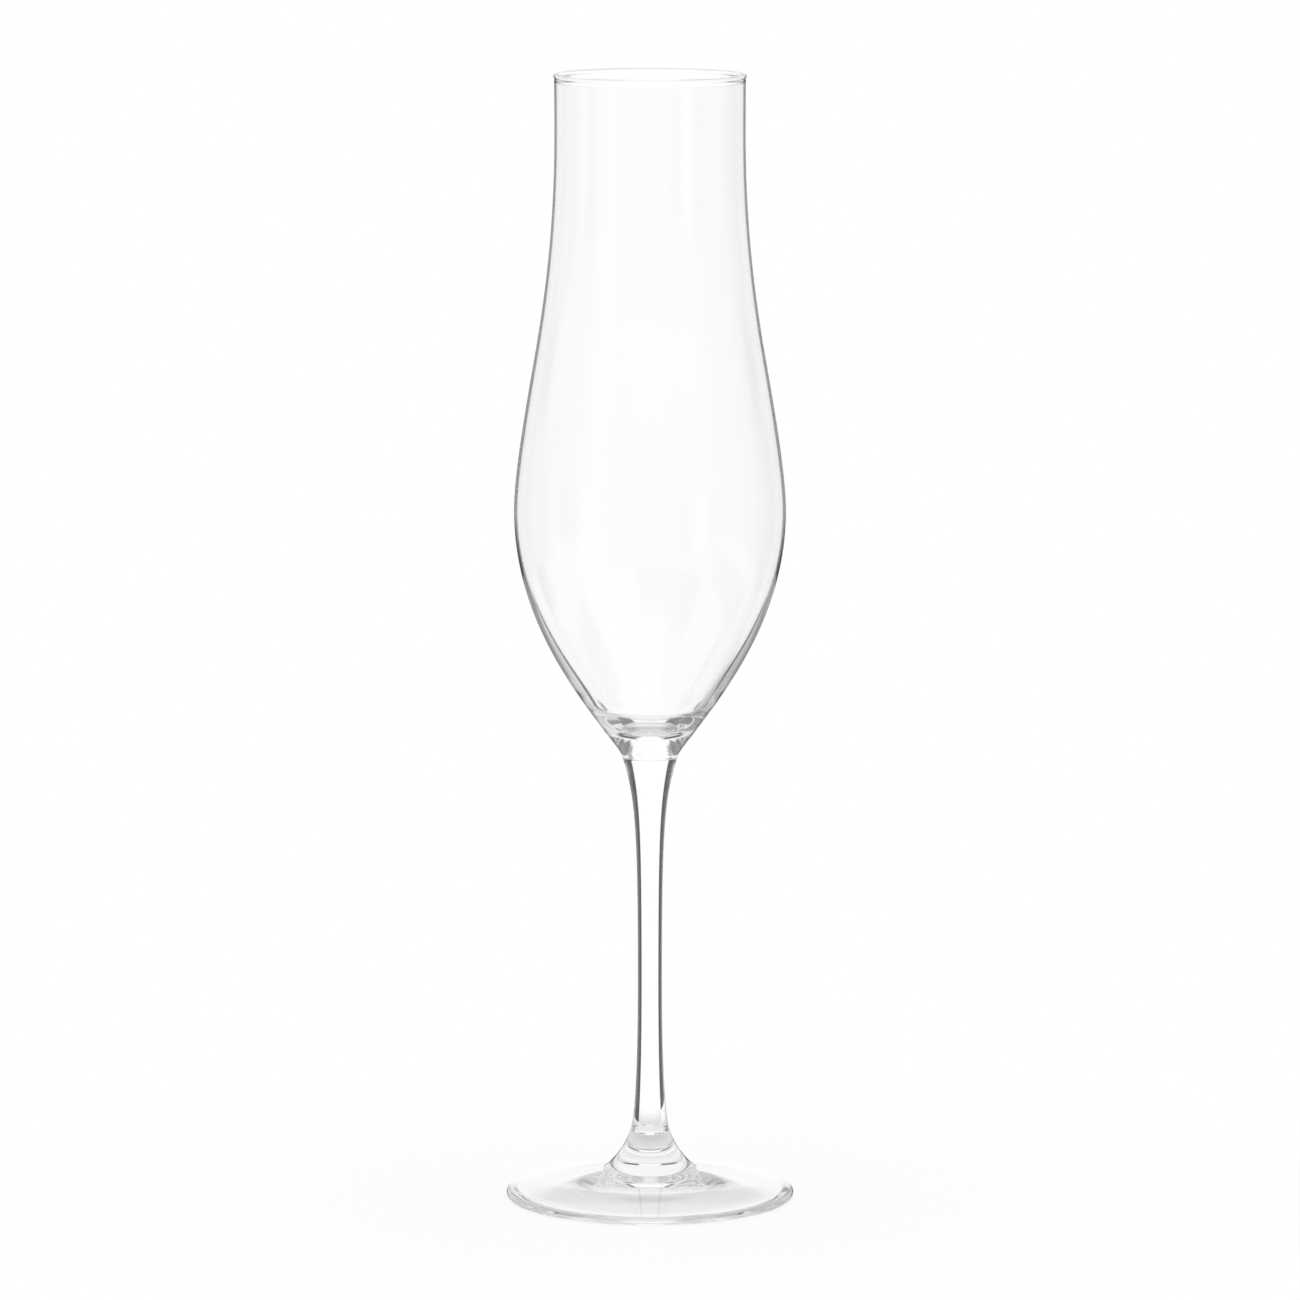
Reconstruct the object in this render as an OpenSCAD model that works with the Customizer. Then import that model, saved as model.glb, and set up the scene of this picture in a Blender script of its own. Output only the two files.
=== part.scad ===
// Champagne glass: a tulip flute of clear glass on a slender drawn stem and a shallow conical foot.
// Bowl, stem and foot are three gathers of glass, shaped apart and welded while they are hot, so
// each weld is a flat disc on which two pieces meet.
// Millimetres, +Z up, origin at the centre of the ring that the foot stands on.

/* [Bowl] */
// Height of the bowl, from its weld face to the rim
bowl_h = 151; // [125:1:185]
// Outer diameter of the straight lip
lip_d = 42; // [36:0.5:52]
// Thickness of the wall from the lip down to the shoulder
lip_wall = 0.7; // [0.5:0.05:1.6]
// Diameter of the fire-polished bead that rounds the rim
bead_d = 1; // [0.6:0.05:2]
// Outer diameter at the shoulder, where the S of the wall turns over
shoulder_d = 50.4; // [42:0.2:62]
// Height of the shoulder above the weld face
shoulder_h = 90; // [75:1:110]
// Slope of the wall at the shoulder, in degrees from upright
shoulder_slope = 9.9; // [2:0.1:18]
// Outer diameter of the belly, the widest level
belly_d = 60; // [50:0.5:74]
// Height of the belly above the weld face
belly_h = 55; // [45:0.5:66]
// Thickness of the wall at the belly
belly_wall = 0.7; // [0.5:0.05:1.6]
// Slope of the lower bowl where it runs into the neck, in degrees from upright
cone_slope = 37.2; // [25:0.1:50]
// Height of the neck, the fillet between the lower bowl and the weld
neck_h = 2.4; // [1.5:0.1:5]
// How far the neck flares on each side
neck_flare = 1.4; // [0.5:0.1:3]
// Height of the cavity's floor above the weld face, the solid base
base_h = 6.6; // [3:0.1:12]
// Thickness of the wall where the cone turns into the cavity's round floor
low_wall = 2.3; // [1.2:0.1:4]

/* [Stem] */
// Length of the stem from weld to weld
stem_l = 84.4; // [60:0.2:110]
// Diameter of the weld between bowl and stem
top_weld_d = 12.2; // [9:0.1:16]
// Slope of the surface through the upper weld, in degrees from upright
top_weld_slope = 17; // [5:0.5:30]
// Diameter of the waist, the thinnest level
waist_d = 5.4; // [4:0.1:8]
// Height of the waist above the lower weld
waist_h = 35; // [25:0.5:45]
// Diameter of the weld between stem and foot
low_weld_d = 8.9; // [7:0.1:12]
// Slope of the surface through the lower weld, in degrees from upright
low_weld_slope = 20; // [5:0.5:35]
// Radius that rounds the edges of the upper weld's faces, which leaves a fine groove
top_weld_round = 0.25; // [0.05:0.05:0.5]
// The same at the lower weld, which is melted closer
low_weld_round = 0.1; // [0.05:0.05:0.5]

/* [Foot] */
// Height of the foot, from the table to its weld face
foot_h = 14.6; // [11:0.1:20]
// Outer diameter of the foot
foot_d = 64; // [50:0.5:80]
// Radius of the foot's rounded edge
edge_r = 0.85; // [0.5:0.05:1.5]
// Width of the flat ring that stands on the table
ring_w = 2; // [1:0.1:5]
// Height of the hollow under the foot
hollow_h = 4.4; // [2:0.1:5.5]
// Diameter at which the hub's flare has run out into the foot's cone
hub_d = 21; // [16:0.2:28]
// Height of that level above the table
hub_h = 6.5; // [5:0.1:9]

/* [Curves] */
// Share of its height over which the lip holds its upright line
lip_pull = 0.23; // [0.1:0.01:0.5]
// Share of the upper wall's height over which the shoulder holds its slope
shoulder_pull = 0.48; // [0.1:0.01:0.6]
// The same just below the shoulder, and above the belly
belly_pull = 0.24; // [0.1:0.01:0.5]
// Share of the lower bowl's height over which the belly stays round
round_pull = 0.45; // [0.2:0.01:0.6]
// Share of the lower bowl's height over which its cone stays straight
cone_pull = 0.29; // [0.1:0.01:0.5]
// Share of the neck's height over which it keeps the slope of either end
neck_pull = 0.33; // [0.1:0.01:0.5]
// Share of the cavity's lower height over which its wall stays upright
cavity_pull = 0.47; // [0.3:0.01:0.8]
// Share of the cavity's lower height over which its wall follows the cone
wall_pull = 0.25; // [0.05:0.01:0.4]
// Share of its height over which the stem keeps the slope of the upper weld
draw_pull = 0.19; // [0.05:0.01:0.4]
// Share of its height over which the stem stays thin above the waist
waist_pull = 0.69; // [0.3:0.01:0.8]
// Share of its height over which the stem stays thin below the waist
rise_pull = 0.1; // [0.05:0.01:0.5]
// Share of its height over which the stem keeps the slope of the lower weld
root_pull = 0.15; // [0.05:0.01:0.4]
// Share of the hub's height over which it keeps the slope of the lower weld
hub_pull = 0.56; // [0.2:0.01:0.8]
// Share of the hub's height over which it has the slope of the foot's cone
flare_pull = 0.12; // [0.05:0.01:0.4]
// Reach of the hollow's level top, and of its slope at the ring, for each millimetre of its height
hollow_pull = 2.5; // [1:0.1:3]

/* [Hidden] */

clear_glass = [0.93, 0.95, 0.96, 0.45];
long_steps = 28;
short_steps = 8;
$fn = 128;

low_weld_z = foot_h;
top_weld_z = low_weld_z + stem_l;
rim_z = top_weld_z + bowl_h;
waist_z = low_weld_z + waist_h;
belly_z = top_weld_z + belly_h;
shoulder_z = top_weld_z + shoulder_h;
floor_z = top_weld_z + base_h;

// The neck is the end of the cone, and the cavity's floor is a cap of a sphere that stays clear of it.
neck = [top_weld_d / 2 + neck_flare, top_weld_z + neck_h];
cone_reach = neck[0] * cos(cone_slope) + (floor_z - neck[1]) * sin(cone_slope);
floor_r = (cone_reach - low_wall) / (1 - sin(cone_slope));

// The bead sits on the middle of the lip's wall, and the wall runs into it from below.
bead_r = max(bead_d, lip_wall) / 2;
bead_z = rim_z - bead_r;
bead_turn = acos(lip_wall / 2 / bead_r);
lip_z = bead_z - bead_r * sin(bead_turn);

// The foot's cone is the straight line from the hub that touches the rounded edge.
edge_x = foot_d / 2 - edge_r;
cone_run = [edge_x - hub_d / 2, hub_h - edge_r];
foot_slope = atan2(cone_run[1], cone_run[0]) - asin(edge_r / norm(cone_run));

// The hollow under the foot starts at the inside of the ring, where it runs parallel to the cone.
hollow_x = edge_x - ring_w;

// Direction at an angle from straight down, positive away from the axis
function heading(angle) = [sin(angle), -cos(angle)];

// One cubic curve through its two ends and two handles
function cubic(a, b, c, d, steps) =
  [for (i = [0:steps]) let (t = i / steps, u = 1 - t)
    u * u * u * a + 3 * u * u * t * b + 3 * u * t * t * c + t * t * t * d];

// Smooth line from one point down to another, with a heading and a pull at each end
function flow(from, out, out_pull, to, into, into_pull, steps = long_steps) =
  let (h = from[1] - to[1])
    cubic(from, from + h * out_pull * heading(out), to - h * into_pull * heading(into), to, steps);

// Points on a circle from one angle to another
function arc(centre, r, start, end, steps = short_steps) =
  [for (i = [0:steps]) let (a = start + (end - start) * i / steps) centre + r * [cos(a), sin(a)]];

// A list without its first point, for a line that goes on where the last one ended
function after(points) = [for (i = [1:len(points) - 1]) points[i]];

// A list from its last point to its first
function back(points) = [for (i = [len(points) - 1:-1:0]) points[i]];

// Wall of the bowl from the lip to the belly, set in from the outer surface by its thickness
function upper_wall(lip_in, belly_in) =
  let (lip = [lip_d / 2 - lip_in, lip_z], belly = [belly_d / 2 - belly_in, belly_z])
  let (shoulder = [shoulder_d / 2 - lip_in / cos(shoulder_slope), shoulder_z])
    concat(flow(lip, 0, lip_pull, shoulder, shoulder_slope, shoulder_pull),
      after(flow(shoulder, shoulder_slope, belly_pull, belly, 0, belly_pull)));

// Lower bowl from the belly through the cone and the neck to the rounded edge of the weld face
function lower_bowl() =
  let (weld = [top_weld_d / 2 + top_weld_round * tan(top_weld_slope), top_weld_z + top_weld_round])
    concat(
      flow([belly_d / 2, belly_z], 0, round_pull, neck, -cone_slope, cone_pull),
      after(flow(neck, -cone_slope, neck_pull, weld, -top_weld_slope, neck_pull, short_steps)),
      after(weld_edge(weld, top_weld_z, top_weld_round)));

// Cavity from the belly down its wall and round its floor to the axis
function cavity() =
  let (floor_cap = arc([0, floor_z + floor_r], floor_r, -cone_slope, -90, long_steps))
    concat(
      flow([belly_d / 2 - belly_wall, belly_z], 0, cavity_pull, floor_cap[0], -cone_slope, wall_pull),
      after(floor_cap));

// Rounded edge of a weld face, from a point on the side of the glass on to the flat disc at z
function weld_edge(side, z, r) =
  let (up = side[1] > z ? 1 : -1)
    arc([side[0] - r, z + up * r], r, 0, -up * 90, short_steps / 2);

// Solid turned about the axis from its half outline
module turned(outline) {
  color(clear_glass) rotate_extrude() polygon(outline);
}

module bowl() {
  lip_middle = lip_d / 2 - lip_wall / 2;
  turned(concat(
    arc([lip_middle, bead_z], bead_r, 180 + bead_turn, -bead_turn, 2 * short_steps),
    after(upper_wall(0, 0)),
    after(lower_bowl()),
    [[0, top_weld_z]],
    back(cavity()),
    after(back(after(upper_wall(lip_wall, belly_wall))))));
}

module stem() {
  top = [top_weld_d / 2 - top_weld_round * tan(top_weld_slope), top_weld_z - top_weld_round];
  waist = [waist_d / 2, waist_z];
  root = [low_weld_d / 2 - low_weld_round * tan(low_weld_slope), low_weld_z + low_weld_round];
  turned(concat(
    [[0, top_weld_z]],
    back(weld_edge(top, top_weld_z, top_weld_round)),
    after(flow(top, -top_weld_slope, draw_pull, waist, 0, waist_pull)),
    after(flow(waist, 0, rise_pull, root, low_weld_slope, root_pull)),
    after(weld_edge(root, low_weld_z, low_weld_round)),
    [[0, low_weld_z]]));
}

module foot() {
  weld = [low_weld_d / 2 + low_weld_round * tan(low_weld_slope), low_weld_z - low_weld_round];
  hub = [hub_d / 2, hub_h];
  turned(concat(
    [[0, low_weld_z]],
    back(weld_edge(weld, low_weld_z, low_weld_round)),
    after(flow(weld, low_weld_slope, hub_pull, hub, 90 - foot_slope, flare_pull)),
    arc([edge_x, edge_r], edge_r, 90 - foot_slope, -90, 2 * short_steps),
    back(flow([0, hollow_h], 90, hollow_pull, [hollow_x, 0], 90 - foot_slope, hollow_pull))));
}

bowl();
stem();
foot();
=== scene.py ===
import math

import bmesh
import bpy
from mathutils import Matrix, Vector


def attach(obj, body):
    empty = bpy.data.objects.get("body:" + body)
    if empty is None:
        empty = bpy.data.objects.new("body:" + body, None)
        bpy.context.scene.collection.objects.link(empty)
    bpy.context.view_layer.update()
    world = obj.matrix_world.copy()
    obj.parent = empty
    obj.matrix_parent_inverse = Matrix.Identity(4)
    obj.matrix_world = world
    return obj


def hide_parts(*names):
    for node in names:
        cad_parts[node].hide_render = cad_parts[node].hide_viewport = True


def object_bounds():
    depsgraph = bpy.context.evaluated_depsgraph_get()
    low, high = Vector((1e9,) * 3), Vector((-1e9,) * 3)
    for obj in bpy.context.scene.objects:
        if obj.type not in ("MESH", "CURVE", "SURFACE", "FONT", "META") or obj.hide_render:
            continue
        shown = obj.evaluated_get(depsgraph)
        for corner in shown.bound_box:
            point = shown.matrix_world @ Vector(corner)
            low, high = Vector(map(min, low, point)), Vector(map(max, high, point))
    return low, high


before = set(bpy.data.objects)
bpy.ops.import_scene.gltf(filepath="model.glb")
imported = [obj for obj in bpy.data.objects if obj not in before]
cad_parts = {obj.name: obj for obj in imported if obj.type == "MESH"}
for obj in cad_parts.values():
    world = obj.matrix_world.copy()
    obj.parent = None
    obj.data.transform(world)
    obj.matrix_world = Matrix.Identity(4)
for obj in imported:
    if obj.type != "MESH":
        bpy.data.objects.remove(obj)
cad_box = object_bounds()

scene = bpy.context.scene
scene.view_settings.view_transform = "Standard"


# Camera
# It stands 1.7 m in front of the glass, a little above the rim, and looks down on it by 8 degrees
# through a long lens, so that the rim and the foot show as flat ellipses.
PICTURE_WIDTH_PX = 1300
FOCAL_LENGTH_PX = 7663
SENSOR_WIDTH_MM = 36
EYE_BACK = 1.67598
EYE_UP = 0.35838
LOOK_DOWN = 8
TURNS_IN_GLASS = 128
CROSSINGS = 64

eye = bpy.data.cameras.new("eye")
eye.sensor_width = SENSOR_WIDTH_MM
eye.lens = SENSOR_WIDTH_MM * FOCAL_LENGTH_PX / PICTURE_WIDTH_PX
eye.clip_start = 0.1
camera = bpy.data.objects.new("camera", eye)
camera.location = (0, -EYE_BACK, EYE_UP)
camera.rotation_euler = (math.radians(90 - LOOK_DOWN), 0, 0)
scene.collection.objects.link(camera)
scene.camera = camera

# Light runs many times to and fro in a solid stem before it leaves the glass.
scene.cycles.max_bounces = TURNS_IN_GLASS
scene.cycles.transmission_bounces = TURNS_IN_GLASS
scene.cycles.glossy_bounces = TURNS_IN_GLASS
scene.cycles.transparent_max_bounces = CROSSINGS


# Studio
# A white room with a soft light overhead and dark cards beside the white backdrop, which draw the edges
# of the glass. Only the glass shows the cards: to the eye and to the floor the room is plain white.
OVERHEAD = 1.05
WHITE = 1.03
WALL = 1.0
PALE = 0.9
SIDE = 0.8
FRONT = 0.75
CARD = 0.12
DARK = 0.04

# One more than how often light met the glass on its way. In the bowl's base that is 6 or 7, and light
# that counts more than 7 was led along inside.
MIRRORED_OUTSIDE = 2
MIRRORED_IN_WALL = 4
THROUGH_BOTH_WALLS = 5
MIRRORED_IN_BASE = 6.5
LED_INSIDE = 7.5
UNFADED_TURNS = 12


def add(tree, kind, inputs=None, **settings):
    """New node with its settings, and its inputs as numbers, vectors or other nodes' outputs."""
    made = tree.nodes.new(kind)
    for name, value in settings.items():
        setattr(made, name, value)
    for name, value in (inputs or {}).items():
        if isinstance(value, bpy.types.NodeSocket):
            tree.links.new(value, made.inputs[name])
        else:
            made.inputs[name].default_value = value
    return made


def reckon(tree, operation, *values):
    """Result of a Math node."""
    return add(tree, "ShaderNodeMath", dict(enumerate(values)), operation=operation).outputs[0]


def rise(tree, value, start, end, low=0.0, high=1.0):
    """Soft step from low to high while the value goes from start to end."""
    inputs = {"Value": value, "From Min": start, "From Max": end, "To Min": low, "To Max": high}
    return add(tree, "ShaderNodeMapRange", inputs, interpolation_type="SMOOTHSTEP").outputs["Result"]


def between(tree, factor, first, second):
    """Mix of two numbers."""
    inputs = {"Factor": factor, "A": first, "B": second}
    return add(tree, "ShaderNodeMix", inputs, data_type="FLOAT").outputs["Result"]


studio = bpy.data.worlds.new("studio")
scene.world = studio
studio.use_nodes = True
room = studio.node_tree
room.nodes.clear()
towards = add(room, "ShaderNodeSeparateXYZ", {0: add(room, "ShaderNodeTexCoord").outputs["Generated"]})
bearing = reckon(room, "DEGREES", reckon(room, "ARCTAN2", towards.outputs["X"], towards.outputs["Y"]))
height = reckon(room, "DEGREES", reckon(room, "ARCSINE", towards.outputs["Z"]))
path = add(room, "ShaderNodeLightPath")
turns = path.outputs["Ray Depth"]


def cards(levels, around=bearing):
    """Brightness by bearing in degrees, 0 straight behind the glass and positive to its right."""
    share = reckon(room, "DIVIDE", reckon(room, "ADD", around, 180), 360)
    ramp = add(room, "ShaderNodeValToRGB", {"Fac": share})
    stops = ramp.color_ramp.elements
    while len(stops) > 1:
        stops.remove(stops[-1])
    for i, (angle, brightness) in enumerate(levels):
        place = (angle + 180) / 360
        stop = stops[0] if i == 0 else stops.new(place)
        stop.position = place
        stop.color = (brightness, brightness, brightness, 1)
    return ramp.outputs["Color"]


def by_height(start, end, lower, upper):
    """Value that turns from lower to upper between two heights, in degrees above the horizon."""
    return between(room, rise(room, height, start, end), lower, upper)


def for_way(way, shown, otherwise, spread=0.1):
    """Brightness shown by light that took this way, and otherwise the one that all other light shows."""
    return between(room, reckon(room, "COMPARE", turns, way, spread), otherwise, shown)


# Light that went in and out of solid glass shows wide cards, which edge the stem. For light that goes
# down steeply the white reaches further to the left, and it dims towards the table.
level = cards([
    (-180, DARK), (-125, DARK), (-122, WALL), (-72, WALL), (-69, DARK), (-34.5, DARK), (-32.5, WHITE),
    (32.5, WHITE), (34.5, DARK), (100, DARK), (104, WALL), (166, WALL), (170, DARK)])
low_level = cards([
    (-180, SIDE), (-116, SIDE), (-112, DARK), (-80, DARK), (-77, WHITE), (32.5, WHITE), (34.5, DARK),
    (100, DARK), (104, WALL), (166, WALL), (170, SIDE)])
steep = rise(room, height, -24, -17, 0.75, 1.0)
level = reckon(room, "MULTIPLY", level, steep)
steep_behind = between(room, rise(room, bearing, -37, -31), 1.0, steep)
low_level = reckon(room, "MULTIPLY", low_level, steep_behind)
level = by_height(-19.8, -19, low_level, level)

# Light that was mirrored once inside a wall shows narrow cards close to the backdrop, which edge the
# bowl. Lower down they are strips further out, which draw the cavity's line in the lower bowl, and higher
# up they stand wider apart, for the hub and the foot.
edge = cards([
    (-180, FRONT), (-117, 0.78), (-110, 0.4), (-99, 0.4), (-94, WHITE), (-86, WHITE), (-81, 0.4),
    (-70, 0.4), (-63, SIDE), (-27, SIDE), (-21.5, CARD), (-10, CARD), (-8, WHITE), (8, WHITE), (10, CARD),
    (21.5, CARD), (27, SIDE), (108, SIDE), (115, 0.4), (126, 0.4), (131, WHITE), (139, WHITE), (144, 0.4),
    (155, 0.4), (162, FRONT)])
low_edge = cards([
    (-180, SIDE), (-70, SIDE), (-67, 0.3), (-53, 0.3), (-50, WHITE), (-40, WHITE), (-30, 0.93),
    (-28.5, DARK), (-24, DARK), (-22.5, 0.75), (-15, 0.65), (-8, 0.5), (-6, WHITE), (6, WHITE), (8, 0.38),
    (17, 0.45), (20, 0.6), (22, DARK), (26.5, DARK), (28.5, 0.88), (44, 0.85), (50, SIDE)])
deep_edge = cards([
    (-180, FRONT), (-30, 0.93), (-28.5, DARK), (-24, DARK), (-22.5, 0.75), (-15, 0.65), (-8, 0.5),
    (-6, WHITE), (6, WHITE), (8, 0.4), (44, 0.45), (50, FRONT)])
high_edge = cards([
    (-180, FRONT), (-70, FRONT), (-60, CARD), (-46, CARD), (-42, SIDE), (-35.5, SIDE), (-33.5, 0.93),
    (33.5, 0.93), (35.5, SIDE), (42, SIDE), (46, CARD), (60, CARD), (70, FRONT)])
low_edge = by_height(-33, -30, deep_edge, low_edge)
low_edge = by_height(-47, -36, FRONT, low_edge)
edge = by_height(-21, -18, low_edge, edge)
edge = by_height(1.5, 4.5, edge, high_edge)
level = for_way(MIRRORED_IN_WALL, edge, level)

# Light that was mirrored on the outside shows a soft room with a window at the front left, and low down
# two cards beside the backdrop.
sheen = cards([
    (-180, 0.74), (-146, 0.74), (-138, 0.95), (-120, 0.95), (-112, 0.78), (-30, SIDE), (-24, CARD),
    (-8, CARD), (-6, WHITE), (6, WHITE), (8, CARD), (24, CARD), (30, SIDE), (120, 0.78), (150, 0.74)])
high_sheen = cards([
    (-180, 0.74), (-146, 0.74), (-138, 0.95), (-120, 0.95), (-112, 0.78), (-40, PALE), (-25, WHITE),
    (25, WHITE), (40, PALE), (120, 0.78), (150, 0.74)])
sheen = by_height(3, 7, sheen, high_sheen)
level = for_way(MIRRORED_OUTSIDE, sheen, level)

# Light that went through both walls of the bowl shows the backdrop between two grey cards. Where it goes
# down they turn pale, and further down into dark strips, closer together the steeper it is.
through = cards([
    (-180, PALE), (-112, WHITE), (-68, WHITE), (-60, 0.2), (-24, 0.2), (-20, WHITE), (20, WHITE), (24, 0.2),
    (60, 0.2), (68, PALE), (112, WHITE), (158, WHITE), (170, PALE)])
even_through = cards([
    (-180, PALE), (-60, PALE), (-57, WHITE), (-33, WHITE), (-30, SIDE), (-24, SIDE), (-20, WHITE),
    (12, WHITE), (16, SIDE), (24, SIDE), (112, WHITE), (158, WHITE), (170, PALE)])
drawn_in = reckon(room, "MULTIPLY", bearing, rise(room, height, -36, -25, 1.9, 1.0))
low_through = cards([
    (-180, PALE), (-60, PALE), (-57, WHITE), (-33, WHITE), (-30, SIDE), (-20, SIDE), (-17, 0.05),
    (-10.5, 0.05), (-9.5, WHITE), (10, WHITE), (11, 0.15), (16, 0.3), (24, 0.42), (30, SIDE), (112, WHITE),
    (158, WHITE), (170, PALE)], drawn_in)
low_through = by_height(-28, -25, low_through, even_through)
low_through = by_height(-46, -38, 0.88, low_through)
through = by_height(-16, -13, low_through, through)
level = for_way(THROUGH_BOTH_WALLS, by_height(30, 36, through, level), level)

# Light that was mirrored a few times in the bowl's thick base shows the dark sides of the room, and where
# it goes up only the left one.
based = cards([
    (-180, SIDE), (-128, SIDE), (-118, 0.3), (-105, 0.25), (-60, 0.2), (-44, 0.3), (-38, 0.52), (-31, 0.85),
    (-27, WHITE), (27, WHITE), (32, SIDE), (43, 0.66), (70, 0.62), (76, 0.45), (82, 0.28), (110, 0.28),
    (120, 0.5), (128, SIDE)])
based = by_height(-28, -22, SIDE, based)
high_based = cards([(-180, SIDE), (-34, SIDE), (-27, WHITE), (27, WHITE), (34, SIDE)])
left = reckon(room, "MULTIPLY", rise(room, bearing, -118, -110), rise(room, bearing, -64, -56, 1, 0))
left = reckon(room, "MULTIPLY", left, rise(room, height, 12.5, 14.5))
high_based = between(room, left, high_based, 0.25)
based = by_height(5, 9, based, high_based)
level = for_way(MIRRORED_IN_BASE, by_height(24, 29, based, level), level, spread=0.6)

# The soft light overhead
level = by_height(40, 55, level, OVERHEAD)

# Light that was led along inside shows a dimmer room. Where it leaves to the back and a little upwards it
# fades with each turn, which greys the tips of the foot.
led = cards([
    (-180, 0.42), (-150, 0.42), (-130, 0.2), (-90, 0.2), (-60, 0.3), (-35, SIDE), (-25, 0.84), (25, 0.84),
    (35, 0.75), (60, 0.57), (100, 0.57), (120, 0.65), (128, 0.58), (138, 0.44)])
low_led = cards([
    (-180, 0.42), (-150, 0.42), (-120, 0.55), (-85, 0.55), (-60, 0.38), (-40, 0.38), (-25, 0.84),
    (25, 0.84), (40, 0.48), (60, 0.48), (85, 0.6), (110, 0.65), (120, 0.65), (138, 0.44)])
high_led = cards([
    (-180, SIDE), (-160, SIDE), (-145, 0.2), (-80, 0.2), (-70, CARD), (-44, CARD), (-38, SIDE), (38, SIDE),
    (44, CARD), (70, CARD), (80, SIDE)])
low_led = by_height(-30, -20, 0.85, low_led)
led = by_height(9, 13, low_led, led)
high_led = by_height(54, 60, high_led, SIDE)
led = by_height(30, 35, led, high_led)
loss = by_height(32, 40, by_height(0, 6, 0.03, 0.25), 0.03)
loss = reckon(room, "MULTIPLY", loss, rise(room, reckon(room, "ABSOLUTE", bearing), 82, 98, 1, 0))
further = reckon(room, "MAXIMUM", reckon(room, "SUBTRACT", turns, UNFADED_TURNS), 0)
fading = reckon(room, "POWER", 1 / math.e, reckon(room, "MULTIPLY", further, loss))
led = reckon(room, "MULTIPLY", led, fading)
level = between(room, reckon(room, "GREATER_THAN", turns, LED_INSIDE), level, led)

plain = reckon(room, "MAXIMUM", path.outputs["Is Camera Ray"], path.outputs["Is Diffuse Ray"])
glow = add(room, "ShaderNodeBackground",
           {"Color": (1, 1, 1, 1), "Strength": between(room, plain, level, WALL)})
add(room, "ShaderNodeOutputWorld", {"Surface": glow.outputs[0]})


# Floor
# A matt white table top that runs out into white. It keeps the faint shadow of the glass. The glass shows it
# close to the foot and the room beyond that, and there the table is a glow with painted shade:
# greyer under the hub, lighter towards the ring, and with painted light towards the front.
TABLE_R = 1.5
TABLE_SIDES = 96
BELOW_FOOT = 0.00005
# Distances from the axis, or in front of it, over which the table's shadow, the painted shade and painted
# light that the glass sees, and the table's end change
SHADOW = (0.05, 0.16)
PAINTED_SHADE_HUB = (0.004, 0.012)
PAINTED_SHADE_RING = (0.021, 0.03)
PAINTED_LIGHT_FRONT = (-0.006, -0.016)
BEYOND_FOOT = (0.033, 0.036)

angles = [math.tau * i / TABLE_SIDES for i in range(TABLE_SIDES)]
floor_mesh = bpy.data.meshes.new("floor")
floor_mesh.from_pydata(
    [(TABLE_R * math.cos(a), TABLE_R * math.sin(a), -BELOW_FOOT) for a in angles],
    [], [list(range(TABLE_SIDES))])
floor = bpy.data.objects.new("floor", floor_mesh)
scene.collection.objects.link(floor)
table = bpy.data.materials.new("matt white table")
table.use_nodes = True
top = table.node_tree
top.nodes.clear()
spot = add(top, "ShaderNodeTexCoord").outputs["Object"]
reach = add(top, "ShaderNodeVectorMath", {0: spot}, operation="LENGTH").outputs["Value"]
behind = add(top, "ShaderNodeSeparateXYZ", {0: spot}).outputs["Y"]
ray = add(top, "ShaderNodeLightPath")
by_glass = reckon(top, "MAXIMUM", ray.outputs["Is Transmission Ray"], ray.outputs["Is Glossy Ray"])
matt = add(top, "ShaderNodeBsdfDiffuse", {"Color": (0.9, 0.9, 0.9, 1)})
white = add(top, "ShaderNodeEmission", {"Strength": 1.0})
whiteness = rise(top, reach, *SHADOW, 0.85, 1.0)
seen = add(top, "ShaderNodeMixShader", {0: whiteness, 1: matt.outputs[0], 2: white.outputs[0]})
# Painted shade and painted light: to the glass the table glows at 0.6 under the hub, brighter towards the
# ring and towards the front, in place of its own shading.
shade_under_foot = reckon(top, "ADD", rise(top, reach, *PAINTED_SHADE_HUB, 0.6, 0.7), rise(top, reach, *PAINTED_SHADE_RING, 0, 0.22))
shade_under_foot = reckon(top, "ADD", shade_under_foot, rise(top, behind, *PAINTED_LIGHT_FRONT, 0, 0.1))
painted_shade_glow = add(top, "ShaderNodeEmission", {"Strength": shade_under_foot})
shown = add(top, "ShaderNodeMixShader", {0: by_glass, 1: seen.outputs[0], 2: painted_shade_glow.outputs[0]})
clear = add(top, "ShaderNodeBsdfTransparent")
beyond = reckon(top, "MULTIPLY", by_glass, rise(top, reach, *BEYOND_FOOT))
whole = add(top, "ShaderNodeMixShader", {0: beyond, 1: shown.outputs[0], 2: clear.outputs[0]})
add(top, "ShaderNodeOutputMaterial", {"Surface": whole.outputs[0]})
floor_mesh.materials.append(table)


# Bowl
# A thin shell of blown clear glass with a fire-polished rim. Its wall is 0.7 mm at the lip and grows
# from the belly down to a thick solid base, which is welded hot to the stem.
MM = 0.001
ROUND_STEPS = 240
WELD_STEPS = 5
MERGE_DISTANCE = 1e-7
WELD_NEAR = 1e-6
WELD_FLAT = 0.999
GLASS_IOR = 1.52
HAZE_SCALE = 45


def heading(angle):
    """Direction at an angle from straight down, positive away from the axis."""
    return math.sin(math.radians(angle)), -math.cos(math.radians(angle))


def flow(start, out, out_pull, end, into, into_pull, steps):
    """Smooth line from one point down to another, with a heading and a pull at each end."""
    drop = start[1] - end[1]
    handle_a = [s + drop * out_pull * d for s, d in zip(start, heading(out))]
    handle_b = [e - drop * into_pull * d for e, d in zip(end, heading(into))]
    points = []
    for i in range(steps + 1):
        t = i / steps
        u = 1 - t
        points.append(tuple(u**3 * a + 3 * u * u * t * b + 3 * u * t * t * c + t**3 * d
                            for a, b, c, d in zip(start, handle_a, handle_b, end)))
    return points


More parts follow.
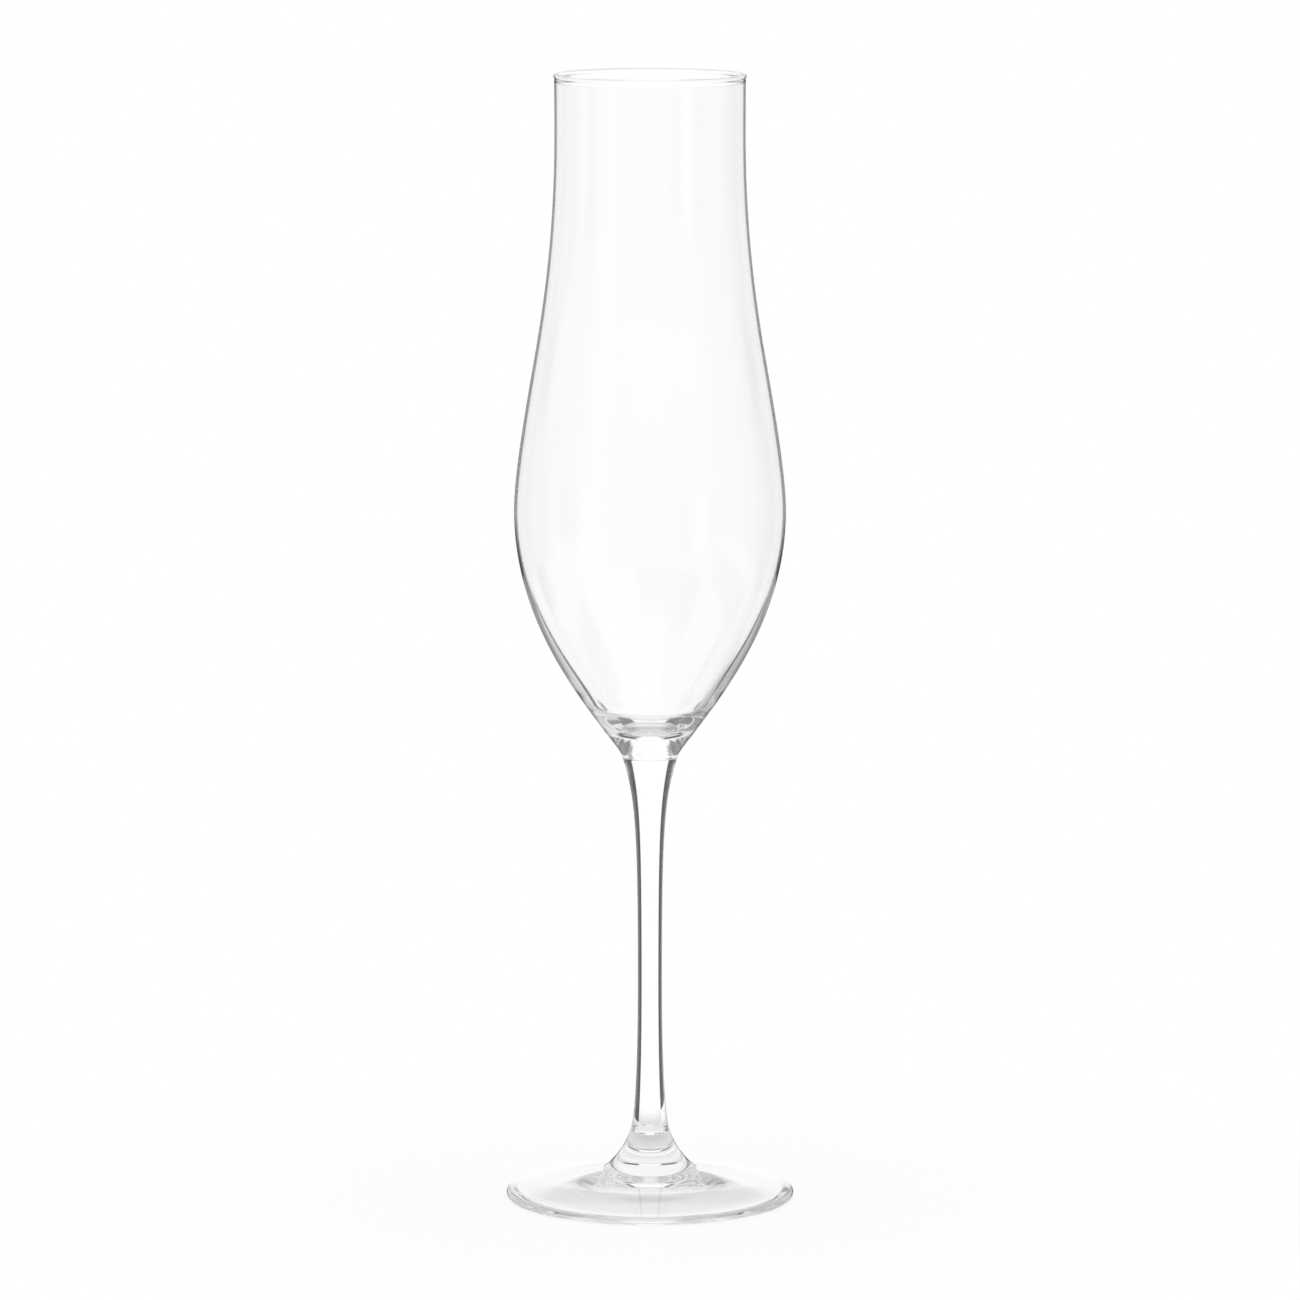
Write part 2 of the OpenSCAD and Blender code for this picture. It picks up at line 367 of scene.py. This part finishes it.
def arc(middle, radius, start, end, steps):
    """Points on a circle from one angle to another."""
    angles = [math.radians(start + (end - start) * i / steps) for i in range(steps + 1)]
    return [(middle[0] + radius * math.cos(a), middle[1] + radius * math.sin(a)) for a in angles]


def beside_weld(radius, z, lean, up):
    """Point on the side of the glass a little above a weld, or below it, where the side leans outwards."""
    return radius + up * math.tan(math.radians(lean)), z + up


def weld_edge(side, z, radius):
    """Rounded edge of a weld face, from a point on the side of the glass on to the flat disc at z."""
    up = 1 if side[1] > z else -1
    return arc((side[0] - radius, z + up * radius), radius, 0, -up * 90, WELD_STEPS)


def turning_tree():
    """Geometry nodes that turn a half outline about the axis, as glass turns on the blowpipe."""
    tree = bpy.data.node_groups.new("turned about the axis", "GeometryNodeTree")
    tree.interface.new_socket("Outline", in_out="INPUT", socket_type="NodeSocketGeometry")
    tree.interface.new_socket("Steps round", in_out="INPUT", socket_type="NodeSocketInt")
    tree.interface.new_socket("Glass", in_out="INPUT", socket_type="NodeSocketMaterial")
    tree.interface.new_socket("Turned", in_out="OUTPUT", socket_type="NodeSocketGeometry")
    given = add(tree, "NodeGroupInput").outputs
    size = add(tree, "GeometryNodeAttributeDomainSize", {"Geometry": given["Outline"]}, component="MESH")
    count = size.outputs["Point Count"]
    columns = reckon(tree, "ADD", given["Steps round"], 1)
    sheet = add(tree, "GeometryNodeMeshGrid", {"Vertices X": columns, "Vertices Y": count}).outputs["Mesh"]
    index = add(tree, "GeometryNodeInputIndex").outputs[0]
    column = reckon(tree, "FLOOR", reckon(tree, "DIVIDE", index, count))
    row = reckon(tree, "MODULO", index, count)
    place = add(tree, "GeometryNodeInputPosition").outputs[0]
    point = add(tree, "GeometryNodeSampleIndex", {"Geometry": given["Outline"], "Index": row},
                data_type="FLOAT_VECTOR", domain="POINT")
    tree.links.new(place, point.inputs["Value"])
    turn = reckon(tree, "MULTIPLY", reckon(tree, "DIVIDE", column, given["Steps round"]), math.tau)
    swung = add(tree, "ShaderNodeVectorRotate", {"Vector": point.outputs["Value"], "Angle": turn},
                rotation_type="Z_AXIS")
    placed = add(tree, "GeometryNodeSetPosition",
                 {"Geometry": sheet, "Position": swung.outputs["Vector"]}).outputs["Geometry"]
    closed = add(tree, "GeometryNodeMergeByDistance",
                 {"Geometry": placed, "Distance": MERGE_DISTANCE}).outputs["Geometry"]
    smooth = add(tree, "GeometryNodeSetShadeSmooth", {"Geometry": closed}).outputs["Geometry"]
    real = add(tree, "GeometryNodeRealizeInstances", {"Geometry": smooth}).outputs["Geometry"]
    painted = add(tree, "GeometryNodeSetMaterial",
                  {"Geometry": real, "Material": given["Glass"]}).outputs["Geometry"]
    add(tree, "NodeGroupOutput", {"Turned": painted})
    return tree


turning = turning_tree()


def turned(name, outline, glass):
    """Closed piece of glass turned from its half outline in millimetres, as a plain mesh."""
    line = bpy.data.meshes.new(name)
    line.from_pydata([(r * MM, 0, z * MM) for r, z in outline],
                     [(i, i + 1) for i in range(len(outline) - 1)], [])
    piece = bpy.data.objects.new(name, line)
    scene.collection.objects.link(piece)
    modifier = piece.modifiers.new("turned", "NODES")
    modifier.node_group = turning
    for item in turning.interface.items_tree:
        if item.name == "Steps round":
            modifier[item.identifier] = ROUND_STEPS
        elif item.name == "Glass":
            modifier[item.identifier] = glass
    bpy.context.view_layer.update()
    mesh = bpy.data.meshes.new_from_object(piece.evaluated_get(bpy.context.evaluated_depsgraph_get()))
    piece.modifiers.remove(modifier)
    piece.data = mesh
    mesh.name = name
    bpy.data.meshes.remove(line)
    work = bmesh.new()
    work.from_mesh(mesh)
    bmesh.ops.recalc_face_normals(work, faces=work.faces)
    work.to_mesh(mesh)
    work.free()
    return piece


fused = bpy.data.materials.new("fused joint")
fused.use_nodes = True
fused.node_tree.nodes["Principled BSDF"].inputs["Alpha"].default_value = 0


def fuse(piece, weld_heights):
    """Gives the flat weld discs at these heights the unseen material of a fused joint."""
    piece.data.materials.append(fused)
    for face in piece.data.polygons:
        for z in weld_heights:
            if abs(face.center.z - z * MM) < WELD_NEAR and abs(face.normal.z) > WELD_FLAT:
                face.material_index = 1


def polish_group():
    """What fire polish leaves on glass: slow ripples, and a breath of haze that comes and goes."""
    tree = bpy.data.node_groups.new("fire polish", "ShaderNodeTree")
    for name in ("Ripple scale", "Upright", "Haze"):
        tree.interface.new_socket(name, in_out="INPUT", socket_type="NodeSocketFloat")
    for name in ("Height", "Roughness"):
        tree.interface.new_socket(name, in_out="OUTPUT", socket_type="NodeSocketFloat")
    given = add(tree, "NodeGroupInput").outputs
    place = add(tree, "ShaderNodeTexCoord").outputs["Object"]
    stretch = add(tree, "ShaderNodeCombineXYZ", {"X": 1.0, "Y": 1.0, "Z": given["Upright"]}).outputs[0]
    drawn = add(tree, "ShaderNodeVectorMath", {0: place, 1: stretch}, operation="MULTIPLY").outputs["Vector"]
    ripple = add(tree, "ShaderNodeTexNoise",
                 {"Vector": drawn, "Scale": given["Ripple scale"], "Detail": 1.0, "Roughness": 0.4})
    breath = add(tree, "ShaderNodeTexNoise", {"Vector": place, "Scale": HAZE_SCALE, "Detail": 3.0})
    haze = reckon(tree, "MULTIPLY", rise(tree, breath.outputs[0], 0.4, 0.75), given["Haze"])
    add(tree, "NodeGroupOutput", {"Height": ripple.outputs[0], "Roughness": haze})
    return tree


polish = polish_group()


def clear_glass(name, ripple_scale, upright, ripple, haze):
    """Clear colourless glass; ripple is the depth of its waves in metres."""
    glass = bpy.data.materials.new(name)
    glass.use_nodes = True
    tree = glass.node_tree
    shader = tree.nodes["Principled BSDF"]
    shader.inputs["Base Color"].default_value = (1, 1, 1, 1)
    shader.inputs["IOR"].default_value = GLASS_IOR
    shader.inputs["Transmission Weight"].default_value = 1
    surface = add(tree, "ShaderNodeGroup", node_tree=polish)
    for socket, value in (("Ripple scale", ripple_scale), ("Upright", upright), ("Haze", haze)):
        surface.inputs[socket].default_value = value
    bump = add(tree, "ShaderNodeBump",
               {"Height": surface.outputs["Height"], "Distance": ripple, "Strength": 1.0})
    tree.links.new(bump.outputs["Normal"], shader.inputs["Normal"])
    tree.links.new(surface.outputs["Roughness"], shader.inputs["Roughness"])
    return glass


# Sizes in millimetres; the rim's height counts from the table, the others from the upper weld.
RIM_Z = cad_box[1][2] / MM
BOWL_H = 151
LIP_R = 21
LIP_WALL = 0.7
BEAD_R = 0.5
SHOULDER_R = 25.2
SHOULDER_H = 90
BELLY_R = 30
BELLY_H = 55
BELLY_WALL = 0.7
NECK_FLARE = 1.4
NECK_H = 2.4
LOW_WALL = 2.3
BASE_H = 6.6
TOP_WELD_R = 6.1
TOP_WELD_ROUND = 0.25
# Slopes of the wall, in degrees from upright
SHOULDER_SLOPE = 9.9
CONE_SLOPE = 37.2
TOP_WELD_SLOPE = 17
# Shares of its height over which a curve keeps the slope of one end
LIP_PULL = 0.23
SHOULDER_PULL = 0.48
BELLY_PULL = 0.24
ROUND_PULL = 0.45
CONE_PULL = 0.29
NECK_PULL = 0.33
CAVITY_PULL = 0.47
WALL_PULL = 0.25
# Steps of each curve
BEAD_STEPS = 20
WALL_STEPS = 36
LOWER_STEPS = 48
NECK_STEPS = 12
CAVITY_STEPS = 44
FLOOR_STEPS = 26

top_weld_z = RIM_Z - BOWL_H
shoulder_z = top_weld_z + SHOULDER_H
belly_z = top_weld_z + BELLY_H
cavity_z = top_weld_z + BASE_H
neck = (TOP_WELD_R + NECK_FLARE, top_weld_z + NECK_H)
bead_turn = math.degrees(math.acos(LIP_WALL / 2 / BEAD_R))
bead_middle = (LIP_R - LIP_WALL / 2, RIM_Z - BEAD_R)
lip_z = bead_middle[1] - BEAD_R * math.sin(math.radians(bead_turn))


def upper_wall(lip_in, belly_in):
    """Wall from the lip over the shoulder to the belly, set in from the outside by its thickness."""
    lip = (LIP_R - lip_in, lip_z)
    shoulder = (SHOULDER_R - lip_in / math.cos(math.radians(SHOULDER_SLOPE)), shoulder_z)
    belly = (BELLY_R - belly_in, belly_z)
    return (flow(lip, 0, LIP_PULL, shoulder, SHOULDER_SLOPE, SHOULDER_PULL, WALL_STEPS)
            + flow(shoulder, SHOULDER_SLOPE, BELLY_PULL, belly, 0, BELLY_PULL, WALL_STEPS)[1:])


# The cavity's floor is a cap of a sphere that stays clear of the cone by the wall's thickness.
cone_cos = math.cos(math.radians(CONE_SLOPE))
cone_sin = math.sin(math.radians(CONE_SLOPE))
floor_r = (neck[0] * cone_cos + (cavity_z - neck[1]) * cone_sin - LOW_WALL) / (1 - cone_sin)
floor_cap = arc((0, cavity_z + floor_r), floor_r, -CONE_SLOPE, -90, FLOOR_STEPS)
floor_cap[-1] = (0, cavity_z)
cavity_top = (BELLY_R - BELLY_WALL, belly_z)
cavity = (flow(cavity_top, 0, CAVITY_PULL, floor_cap[0], -CONE_SLOPE, WALL_PULL, CAVITY_STEPS)
          + floor_cap[1:])
bowl_foot = beside_weld(TOP_WELD_R, top_weld_z, TOP_WELD_SLOPE, TOP_WELD_ROUND)
bowl_line = (
    [(0, top_weld_z)]
    + weld_edge(bowl_foot, top_weld_z, TOP_WELD_ROUND)[::-1]
    + flow(neck, -CONE_SLOPE, NECK_PULL, bowl_foot, -TOP_WELD_SLOPE, NECK_PULL, NECK_STEPS)[-2::-1]
    + flow((BELLY_R, belly_z), 0, ROUND_PULL, neck, -CONE_SLOPE, CONE_PULL, LOWER_STEPS)[-2::-1]
    + upper_wall(0, 0)[-2::-1]
    + arc(bead_middle, BEAD_R, -bead_turn, 180 + bead_turn, BEAD_STEPS)[1:]
    + upper_wall(LIP_WALL, BELLY_WALL)[1:]
    + cavity[1:])
bowl_glass = clear_glass("blown clear glass", ripple_scale=70, upright=0.35, ripple=0.000008, haze=0.004)
bowl = turned("blown_bowl", bowl_line, bowl_glass)
fuse(bowl, [top_weld_z])
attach(bowl, "root")
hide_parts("bowl")


# Stem
# A solid rod of clear glass, drawn out hot until its waist is 5.4 mm thin. Both ends flare, up into
# the bowl's base and down into the foot's hub, and are welded there.
STEM_L = 84.4
WAIST_R = 2.7
WAIST_H = 35
LOW_WELD_R = 4.45
LOW_WELD_SLOPE = 20
LOW_WELD_ROUND = 0.1
DRAW_PULL = 0.19
WAIST_PULL = 0.69
RISE_PULL = 0.1
ROOT_PULL = 0.15
DRAW_STEPS = 60
ROOT_STEPS = 48

low_weld_z = top_weld_z - STEM_L
waist = (WAIST_R, low_weld_z + WAIST_H)
stem_top = beside_weld(TOP_WELD_R, top_weld_z, TOP_WELD_SLOPE, -TOP_WELD_ROUND)
stem_root = beside_weld(LOW_WELD_R, low_weld_z, -LOW_WELD_SLOPE, LOW_WELD_ROUND)
stem_line = (
    [(0, low_weld_z)]
    + weld_edge(stem_root, low_weld_z, LOW_WELD_ROUND)[::-1]
    + flow(waist, 0, RISE_PULL, stem_root, LOW_WELD_SLOPE, ROOT_PULL, ROOT_STEPS)[-2::-1]
    + flow(stem_top, -TOP_WELD_SLOPE, DRAW_PULL, waist, 0, WAIST_PULL, DRAW_STEPS)[-2::-1]
    + weld_edge(stem_top, top_weld_z, TOP_WELD_ROUND)[1:]
    + [(0, top_weld_z)])
stem_glass = clear_glass("drawn clear glass", ripple_scale=120, upright=0.08, ripple=0.000004, haze=0.004)
stem = turned("drawn_stem", stem_line, stem_glass)
fuse(stem, [low_weld_z, top_weld_z])
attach(stem, "root")
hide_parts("stem")


# Foot
# A disc of clear glass, spun out hot into a shallow cone with a flared hub. Its edge is rounded by
# the fire, and its underside is hollowed so that it stands on a narrow ring.
FOOT_R = 32
EDGE_R = 0.85
RING_W = 2
HOLLOW_H = 4.4
HUB = (10.5, 6.5)
HUB_PULL = 0.56
FLARE_PULL = 0.12
HOLLOW_PULL = 2.5
HUB_STEPS = 60
EDGE_STEPS = 20
HOLLOW_STEPS = 60

# The cone is the straight line from the hub that touches the rounded edge.
edge_middle = (FOOT_R - EDGE_R, EDGE_R)
run = edge_middle[0] - HUB[0]
fall = HUB[1] - EDGE_R
cone_dip = math.degrees(math.atan2(fall, run) - math.asin(EDGE_R / math.hypot(run, fall)))
hub_top = beside_weld(LOW_WELD_R, low_weld_z, -LOW_WELD_SLOPE, -LOW_WELD_ROUND)
hollow_end = (edge_middle[0] - RING_W, 0)
hollow = flow((0, HOLLOW_H), 90, HOLLOW_PULL, hollow_end, 90 - cone_dip, HOLLOW_PULL, HOLLOW_STEPS)
foot_line = (
    [(0, low_weld_z)]
    + weld_edge(hub_top, low_weld_z, LOW_WELD_ROUND)[::-1]
    + flow(hub_top, LOW_WELD_SLOPE, HUB_PULL, HUB, 90 - cone_dip, FLARE_PULL, HUB_STEPS)[1:]
    + arc(edge_middle, EDGE_R, 90 - cone_dip, -90, EDGE_STEPS)
    + hollow[::-1])
foot_glass = clear_glass("spun clear glass", ripple_scale=110, upright=1.0, ripple=0.00001, haze=0.02)
foot = turned("spun_foot", foot_line, foot_glass)
fuse(foot, [low_weld_z])
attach(foot, "root")
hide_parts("foot")
